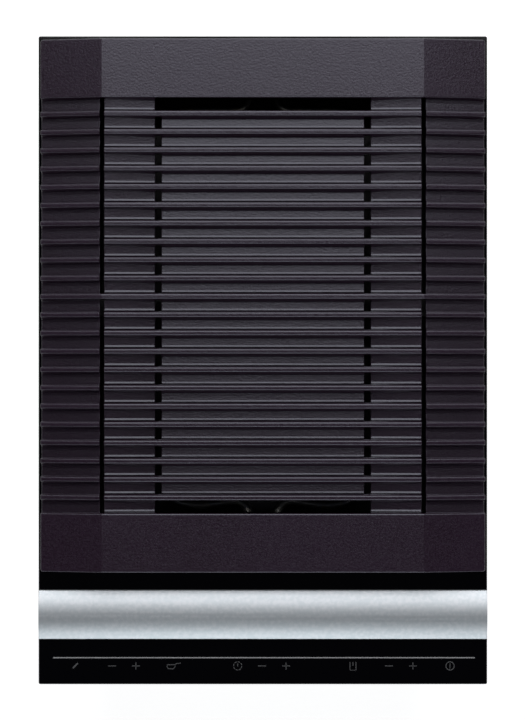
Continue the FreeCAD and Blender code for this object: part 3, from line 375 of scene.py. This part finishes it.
def make_galvanised():
    """Hot-dipped sheet: zinc spangles that differ in tone and shine."""
    made = Finish("galvanised", (0.52, 0.54, 0.56), metallic=1, roughness=0.42)
    waves = made.noise(60, 2)
    spangle = made.nodes.new("ShaderNodeSeparateColor")
    made.links.new(made.cells(115, "Color"), spangle.inputs[0])
    made.colour(made.blend(spangle.outputs["Red"], (0.36, 0.375, 0.39), (0.44, 0.455, 0.47)))
    made.rough(spangle.outputs["Green"], 0.38, 0.48, 0, 1)
    made.bump(waves, 0.05 * MM, 0.15)
    return made


def make_turned(name, colour, low, high):
    """Turned or plated metal with faint tool marks and dull patches."""
    made = Finish(name, colour, metallic=1, roughness=(low + high) / 2)
    marks = made.noise(1, 2, made.stretch(60, 60, 2400))
    made.rough(made.noise(150, 3), low, high)
    deeper = tuple(part * 0.8 for part in colour)
    made.colour(made.blend(made.spread(made.noise(90, 3), 0, 1), deeper, colour))
    made.bump(marks, 0.01 * MM, 0.3)
    return made


def make_moulded(name, colour, low, high, grain=1400, height=0.03):
    """Moulded plastic with a fine eroded grain, of that height in millimetres."""
    made = Finish(name, colour, roughness=(low + high) / 2)
    paler = tuple(part * 1.25 + 0.004 for part in colour)
    made.colour(made.blend(made.spread(made.noise(130, 3), 0, 1), colour, paler))
    made.rough(made.noise(500, 2), low, high)
    made.bump(made.noise(grain, 2), height * MM, 0.4)
    return made


def make_rubber():
    made = make_moulded("rubber_seal", (0.022, 0.022, 0.024), 0.62, 0.82, 900, 0.06)
    made.set("Specular IOR Level", 0.35)
    return made


def make_foam():
    """Closed-cell foam: small cells with raised walls."""
    made = Finish("foam", (0.09, 0.09, 0.095), roughness=0.9)
    walls = made.cells(1500, "Distance")
    made.colour(made.blend(made.spread(walls, 0, 1, 0, 0.6), (0.05, 0.05, 0.055), (0.13, 0.13, 0.135)))
    made.bump(walls, 0.3 * MM, 0.6)
    return made


def make_board():
    """Solder resist over copper tracks that run along and across."""
    made = Finish("board", (0.02, 0.13, 0.05), roughness=0.32, Coat_Weight=0.4)
    along = made.cells(170, "Distance", made.stretch(0.35, 1, 1), "DISTANCE_TO_EDGE")
    across = made.cells(150, "Distance", made.stretch(1, 0.3, 1), "DISTANCE_TO_EDGE")
    base = made.blend(made.spread(along, 1, 0, 0.04, 0.09), (0.012, 0.085, 0.03), (0.035, 0.2, 0.08))
    made.colour(made.blend(made.spread(across, 0.7, 0, 0.03, 0.07), base, (0.045, 0.23, 0.09)))
    made.rough(made.noise(300, 2), 0.26, 0.4)
    made.bump(made.spread(along, 1, 0, 0.04, 0.09), 0.035 * MM, 0.6)
    return made


def make_print():
    """Pale ceramic print on the glass, a little uneven in its cover."""
    made = Finish("glass_print", (0.2, 0.2, 0.2), roughness=0.5)
    cover = made.spread(made.noise(900, 2), 0, 1)
    made.colour(made.blend(cover, (0.15, 0.15, 0.152), (0.24, 0.24, 0.245)))
    made.rough(made.noise(1500, 2), 0.42, 0.6)
    return made


def make_sign_print():
    """A greyer print for the signs."""
    made = Finish("sign_print", (0.1, 0.1, 0.1), roughness=0.55)
    cover = made.spread(made.noise(1100, 2), 0, 1)
    made.colour(made.blend(cover, (0.032, 0.032, 0.034), (0.056, 0.056, 0.058)))
    made.rough(made.noise(1500, 2), 0.45, 0.62)
    return made


MATERIALS = {
    "rubber_seal": make_rubber(),
    "panel_glass": make_panel_glass(),
    "casting": make_casting(),
    # Near-black steel; on the well and the heater support it is painted shade
    "heated_steel": make_brushed("heated_steel", (0.05, 0.049, 0.05), 0.35, 0.5),
    "stainless": make_brushed("stainless", (0.27, 0.265, 0.26), 0.3, 0.42),
    "heater_steel": make_heater_steel("heater_steel", bare=(0.42, 0.42, 0.38),
                                      scaled=(0.3, 0.315, 0.32), stained=(0.46, 0.42, 0.35)),
    # Near-black heater steel for the rear tube: painted shade in the rear opening
    "shade_darkened_heater_steel": make_heater_steel("shade_darkened_heater_steel", bare=(0.05, 0.05, 0.045),
                                           scaled=(0.03, 0.032, 0.035), stained=(0.06, 0.052, 0.04)),
    "galvanised": make_galvanised(),
    "bar_aluminium": make_bar_aluminium(),
    "brass": make_turned("brass", (0.68, 0.5, 0.24), 0.22, 0.38),
    "nickel": make_turned("nickel", (0.66, 0.64, 0.6), 0.16, 0.32),
    "seat_plastic": make_moulded("seat_plastic", (0.75, 0.74, 0.7), 0.4, 0.55),
    "black_plastic": make_moulded("black_plastic", (0.02, 0.02, 0.022), 0.42, 0.58),
    "board": make_board(),
    "relay_plastic": make_moulded("relay_plastic", (0.02, 0.05, 0.14), 0.22, 0.34, 1800, 0.012),
    "terminal_plastic": make_moulded("terminal_plastic", (0.55, 0.55, 0.51), 0.38, 0.5),
    "foam": make_foam(),
    "zinc_screw": make_turned("zinc_screw", (0.58, 0.6, 0.6), 0.25, 0.42),
    "lever_paint": make_moulded("lever_paint", (0.42, 0.02, 0.015), 0.22, 0.32, 260, 0.05),
}

SLOT_OF = {part["node"]: part["material_slot"] for part in frame["record"]["subparts"]}

# The inside of the well is dark in the photograph, so the well and the heater support take the near-black
# heated steel in place of their own finish: painted shade
PAINTED_SHADE_FINISHES = {"well": "heated_steel", "heater_support": "heated_steel"}


def give_finish(thing, name):
    thing.data.materials.clear()
    thing.data.materials.append(MATERIALS[name].material)


def finish_of(node):
    return PAINTED_SHADE_FINISHES.get(node, SLOT_OF[node])


# Copies of nodes with rounded edges

# Edges that turn by more than this are rounded, and faces within the smaller angle count as one
ROUNDED_TURN = math.radians(25)
LEVEL_TURN = math.radians(4)

# Where the grate's shoulders and wings begin, by their distance from its middle line
SHOULDER_START = 85 * MM
WING_START = 129 * MM


def new_object(name, data):
    made = bpy.data.objects.new(name, data)
    collection.objects.link(made)
    return made


def width_of(face):
    """How wide a long narrow face is, roughly."""
    return 2 * face.calc_area() / face.calc_perimeter()


def is_crease(edge, least_run):
    """True where two flat faces meet at an angle, or where such a fold runs on across a rounded edge."""
    widest_rounding = 1.2 * MM
    longest_crossing = 1.5 * MM
    if edge.calc_face_angle() < LEVEL_TURN:
        return False
    if min(width_of(face) for face in edge.link_faces) > widest_rounding:
        return True
    longest = min(max(side.calc_length() for side in face.edges) for face in edge.link_faces)
    return edge.calc_length() < longest_crossing and longest > least_run


def has_room(edge, width):
    """True where both faces reach far enough from an edge for it to be rounded."""
    room = 2.2 * width
    return all(face.calc_area() / edge.calc_length() > room for face in edge.link_faces)


def sharp_edges(form):
    """Edges where two faces meet at an angle."""
    return [edge for edge in form.edges
            if len(edge.link_faces) == 2 and ROUNDED_TURN < edge.calc_face_angle() < math.pi]


def round_off(form, edges, width):
    bmesh.ops.bevel(form, geom=[edge for edge in edges if has_room(edge, width)], offset=width,
                    offset_type="OFFSET", segments=2, profile=0.5, affect="EDGES",
                    clamp_overlap=False, harden_normals=False)


def runs_across(edge, least, most):
    """True for a long edge across the grate that faces up and to the front, turning by these degrees."""
    shortest = 12 * MM
    run = edge.verts[1].co - edge.verts[0].co
    turn = math.degrees(edge.calc_face_angle_signed())
    facing = sum((face.normal for face in edge.link_faces), Vector())
    return (run.length > shortest and abs(run.y) < 0.1 * run.length and least < turn < most
            and facing.z > 0.5 and facing.y < -0.3)


def cut_across(form, face, place):
    """Split a face, with its neighbours that are nearly level with it, along a line across the grate."""
    patch = {face}
    waiting = [face]
    while waiting:
        for edge in waiting.pop().edges:
            if len(edge.link_faces) == 2 and edge.calc_face_angle() < LEVEL_TURN:
                waiting += [near for near in edge.link_faces if near not in patch]
                patch.update(edge.link_faces)
    parts = set(patch)
    for part in patch:
        parts.update(part.edges)
        parts.update(part.verts)
    cut = bmesh.ops.bisect_plane(form, geom=list(parts), plane_co=(0, place, 0), plane_no=(0, 1, 0))
    return [part for part in cut["geom_cut"] if isinstance(part, bmesh.types.BMVert)]


def on_wing(vert):
    return abs(vert.co.x) > WING_START


def on_shoulder(vert):
    return SHOULDER_START < abs(vert.co.x) < WING_START


def fall_of(vert):
    """How far a plate between a slot and a drain hole falls to the hole, in millimetres."""
    slot = 128
    plate_length = 42
    whole_fall = 0.5
    if not on_shoulder(vert):
        return 0
    return whole_fall * (slot - abs(vert.co.x) / MM) / plate_length


def shape_channels(form):
    """The cast lip in front of each plate, the shallow groove below it and the gutter behind it.

    All heights and widths are in millimetres. A rise below 0 is a fall.
    """
    groove_rise = 0.7
    wing_groove_rise = 1.4
    groove_width = 2.5
    lip_rise = 0.38
    lip_width = 1.65
    shoulder_fold_rise = -0.15
    gutter_width = 2.2
    wing_gutter_rise = -0.14
    middle_gutter_width = 3.6
    middle_foot_rise = -0.1
    across = sharp_edges(form)
    lips = [edge for edge in across if runs_across(edge, 75, 105)]
    walls = [min(lip.link_faces, key=lambda face: face.normal.z) for lip in lips]
    feet = [edge for edge in across
            if runs_across(edge, -95, -30) and not set(walls) & set(edge.link_faces)]
    rise = {}
    for lip, wall in zip(lips, walls):
        for edge in wall.edges:
            for face in edge.link_faces:
                if face.normal.z > 0.9 and width_of(face) < groove_width * MM:
                    for vert in face.verts:
                        rise[vert] = wing_groove_rise if on_wing(vert) else groove_rise
        for vert in lip.verts:
            rise[vert] = 0 if on_wing(vert) else lip_rise
        plate = max(lip.link_faces, key=lambda face: face.normal.z)
        fold = cut_across(form, plate, max(vert.co.y for vert in lip.verts) + lip_width * MM)
        for vert in fold:
            rise[vert] = shoulder_fold_rise if on_shoulder(vert) else 0
    for foot in feet:
        middle = not on_shoulder(foot.verts[0]) and not on_wing(foot.verts[0])
        for vert in foot.verts:
            rise[vert] = middle_foot_rise if middle else 0
        plate = max(foot.link_faces, key=lambda face: face.normal.z)
        width = middle_gutter_width if middle else gutter_width
        fold = cut_across(form, plate, min(vert.co.y for vert in foot.verts) - width * MM)
        for vert in fold:
            rise[vert] = wing_gutter_rise if on_wing(vert) else 0
    behind = {vert for foot in feet for vert in foot.verts}
    for vert, height in rise.items():
        vert.co.z += (height - (0 if vert in behind else fall_of(vert))) * MM
    form.normal_update()


def shorten(form, half_length):
    """Pull both ends of a long piece in to half its length from the middle."""
    for vert in form.verts:
        vert.co.x = max(-half_length, min(vert.co.x, half_length))


def soften(node, width):
    """A copy of a node with its sharp edges rounded, which stands for the node."""
    source = NODES[node]
    mesh = source.data.copy()
    form = bmesh.new()
    form.from_mesh(mesh)
    bmesh.ops.remove_doubles(form, verts=form.verts, dist=0.002 * MM)
    bmesh.ops.dissolve_limit(form, angle_limit=math.radians(0.6), verts=form.verts, edges=form.edges)
    if node == "grill_grate":
        shape_channels(form)
    if node == "trim_bar":
        shorten(form, 179.4 * MM)
    round_off(form, sharp_edges(form), width)
    bmesh.ops.recalc_face_normals(form, faces=form.faces)
    least_run = 1.1 * MM if node == "grill_grate" else 4 * MM
    for face in form.faces:
        face.smooth = True
    for edge in form.edges:
        if len(edge.link_faces) == 2:
            edge.smooth = edge.calc_face_angle() < math.radians(50) and not is_crease(edge, least_run)
    form.to_mesh(mesh)
    form.free()
    piece = new_object(node + "_form", mesh)
    weighted = piece.modifiers.new("weighted", "WEIGHTED_NORMAL")
    weighted.keep_sharp = True
    weighted.weight = 100
    give_finish(piece, finish_of(node))
    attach(piece, source["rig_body"])
    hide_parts(node)


# Print on the glass, in millimetres


def ribbon(form, points, width, low, high, closed=False):
    """A flat printed stroke along points in the plan, as a thin closed solid."""
    count = len(points)
    rings = []
    for index, point in enumerate(points):
        before = points[index - 1] if closed or index else point
        after = points[(index + 1) % count] if closed or index < count - 1 else point
        run = Vector(after) - Vector(before)
        side = Vector((-run.y, run.x)).normalized() * width / 2
        left = Vector(point) + side
        right = Vector(point) - side
        rings.append([form.verts.new((*left, low)), form.verts.new((*right, low)),
                      form.verts.new((*right, high)), form.verts.new((*left, high))])
    spans = count if closed else count - 1
    for index in range(spans):
        first = rings[index]
        second = rings[(index + 1) % count]
        for corner in range(4):
            following = (corner + 1) % 4
            form.faces.new((first[corner], first[following], second[following], second[corner]))
    if not closed:
        form.faces.new(rings[0][::-1])
        form.faces.new(rings[-1])


def arc(x, y, radius, start, stop, steps=20):
    turns = [math.radians(start + (stop - start) * step / steps) for step in range(steps + 1)]
    return [(x + radius * math.cos(turn), y + radius * math.sin(turn)) for turn in turns]


def print_piece(name, strokes, width, finish):
    """Printed strokes, each given as its points and whether it closes on itself."""
    bottom = GLASS_TOP - 0.01 * MM
    top = GLASS_TOP + 0.03 * MM
    form = bmesh.new()
    for points, closed in strokes:
        scaled = [(x * MM, y * MM) for x, y in points]
        ribbon(form, scaled, width * MM, bottom, top, closed)
    bmesh.ops.recalc_face_normals(form, faces=form.faces)
    mesh = bpy.data.meshes.new(name)
    form.to_mesh(mesh)
    form.free()
    piece = new_object(name, mesh)
    mesh.materials.append(finish.material)
    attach(piece, "appliance")


def minus(x, y):
    half_length = 3.2
    return [([(x - half_length, y), (x + half_length, y)], False)]


def plus(x, y):
    half_height = 2.9
    return minus(x, y) + [([(x, y - half_height), (x, y + half_height)], False)]


def make_prints():
    """The line behind the signs and one sign for each touch key, all plain and generic."""
    line_y = -238.7
    y = -245.3
    stroke = 0.6
    ring_radius = 3.3
    print_piece("touch_line", [([(-168.4, line_y), (170.2, line_y)], False)], 0.9, make_print())
    grey = make_sign_print()
    key = [(-152.4, y - 1.8), (-149.2, y + 1.6), (-148.4, y + 2.1)]
    print_piece("sign_key_lock", [(key, False)], 1.2, grey)
    for index, x in enumerate((-121.0, -0.6, 101.2)):
        print_piece(f"sign_minus_{index + 1}", minus(x, y), stroke, grey)
    for index, x in enumerate((-101.9, 18.6, 120.4)):
        print_piece(f"sign_plus_{index + 1}", plus(x, y), stroke, grey)
    pan = [(-76.6, y + 1.0), (-77.0, y - 0.6), (-75.9, y - 2.2), (-72.2, y - 2.4), (-70.6, y - 1.0),
           (-70.4, y + 1.0)]
    handle = [(-70.4, y + 1.0), (-69.4, y + 1.9), (-65.8, y + 2.3)]
    print_piece("sign_pan", [(pan, True), (handle, False)], stroke, grey)
    timer_x = -20.2
    ring = [(arc(timer_x, y, ring_radius, start, start + 32, 4), False) for start in range(104, 436, 45)]
    hand = [(timer_x, y - 0.4), (timer_x, y + 1.8)]
    print_piece("sign_timer", ring + [(hand, False)], stroke, grey)
    zone_frame = [(69.9, y + 3.2), (69.9, y - 3.4), (74.7, y - 3.4), (74.7, y + 3.2)]
    zone_bar = [(72.3, y + 0.2), (72.3, y + 3.2)]
    print_piece("sign_zones", [(zone_frame, False), (zone_bar, False)], stroke, grey)
    power_x = 150.2
    circle = arc(power_x, y, ring_radius, 0, 345, 24)
    upright = [(power_x, y - 2.0), (power_x, y + 2.0)]
    print_piece("sign_power", [(circle, True), (upright, False)], stroke, grey)


# Heating tubes in millimetres, round and smooth, on the line of the solids. The front one bows forward
# a little between its head and its outer bends, as the photograph shows.

FIELD_MIDDLE = 43.5
TUBE_RADIUS = 3.25
TUBE_HEIGHT = -4


def bend_points(corners, steps=10):
    """Straight runs with a tangent arc at each inner corner (x, y, radius)."""
    points = [Vector(corners[0][:2])]
    for before, corner, after in zip(corners, corners[1:], corners[2:]):
        here = Vector(corner[:2])
        inward = (Vector(before[:2]) - here).normalized()
        outward = (Vector(after[:2]) - here).normalized()
        angle = inward.angle(outward)
        trim = corner[2] / math.tan(angle / 2)
        first = here + inward * trim
        centre = here + (inward + outward).normalized() * math.hypot(corner[2], trim)
        start = first - centre
        turn = (math.pi - angle) * (1 if inward.cross(outward) < 0 else -1)
        for step in range(steps + 1):
            arm = Matrix.Rotation(turn * step / steps, 2) @ start
            points.append(centre + arm)
    points.append(Vector(corners[-1][:2]))
    return points


def heater_half(bowed):
    """The right half of a tube, from its head to its middle, as corners (x, y, radius)."""
    lead, inner, middle, outer = 11.5, 17, 47, 77
    bend = 15
    well_front = FIELD_MIDDLE - 184
    pivot = well_front + 9
    head_back = pivot + 7
    run = pivot + 18
    back = run + 18
    tip = FIELD_MIDDLE - 5
    if bowed:
        start = [(lead, head_back, 0), (lead, run + 2.3, 12), (54, run - 4.5, 45), (outer, run + 2, bend)]
    else:
        start = [(lead, head_back, 0), (lead, run, 10.5), (outer, run, 19)]
    return start + [(outer, tip, bend), (middle, tip, bend), (middle, back, bend), (inner, back, bend),
                    (inner, tip, 17)]


def make_heater(side, finish, turned):
    """A tube in two equal halves. The rear one is the front one turned round, without its bow."""
    half = heater_half(bowed=not turned)
    route = half + [(-x, y, bend) for x, y, bend in reversed(half)]
    if turned:
        route = [(-x, 2 * FIELD_MIDDLE - y, bend) for x, y, bend in route]
    points = bend_points(route)
    name = side + "_heating_tube"
    data = bpy.data.curves.new(name, "CURVE")
    data.dimensions = "3D"
    data.bevel_depth = TUBE_RADIUS * MM
    data.bevel_resolution = 5
    data.use_fill_caps = True
    spline = data.splines.new("POLY")
    spline.points.add(len(points) - 1)
    for target, point in zip(spline.points, points):
        target.co = (point.x * MM, point.y * MM, TUBE_HEIGHT * MM, 1)
    data.materials.append(MATERIALS[finish].material)
    piece = new_object(name, data)
    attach(piece, side + "_heating")
    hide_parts(side + "_heater")


# The scene

# How wide the edges of each of these nodes are rounded, in millimetres
SOFTENED = {
    "grill_grate": 0.45, "trim_bar": 0.25, "casing": 0.3, "base_cover": 0.3, "clamp_brackets": 0.25,
    "front_left_claw": 0.5, "back_left_claw": 0.5, "front_right_claw": 0.5, "back_right_claw": 0.5,
    "valve_body": 0.6, "drain_outlet": 0.4, "plug_nut": 0.5, "drain_lever": 0.4, "lever_grip": 0.9,
    "cable_gland": 0.6, "front_heater_head": 0.8, "rear_heater_head": 0.8, "front_heater_bracket": 0.4,
    "rear_heater_bracket": 0.4, "heater_support": 0.3, "drain_strainer": 0.3, "drain_spigot": 0.4,
    "relays": 0.6, "terminal_block": 0.5,
}

make_camera()
make_studio()
for node, thing in NODES.items():
    give_finish(thing, finish_of(node))
    thing.data.set_sharp_from_angle(angle=math.radians(35))
    for face in thing.data.polygons:
        face.use_smooth = True

for node, width in SOFTENED.items():
    soften(node, width * MM)
make_heater("front", "heater_steel", turned=False)
# The rear tube takes the near-black heater steel, as painted shade
make_heater("rear", "shade_darkened_heater_steel", turned=True)
make_prints()
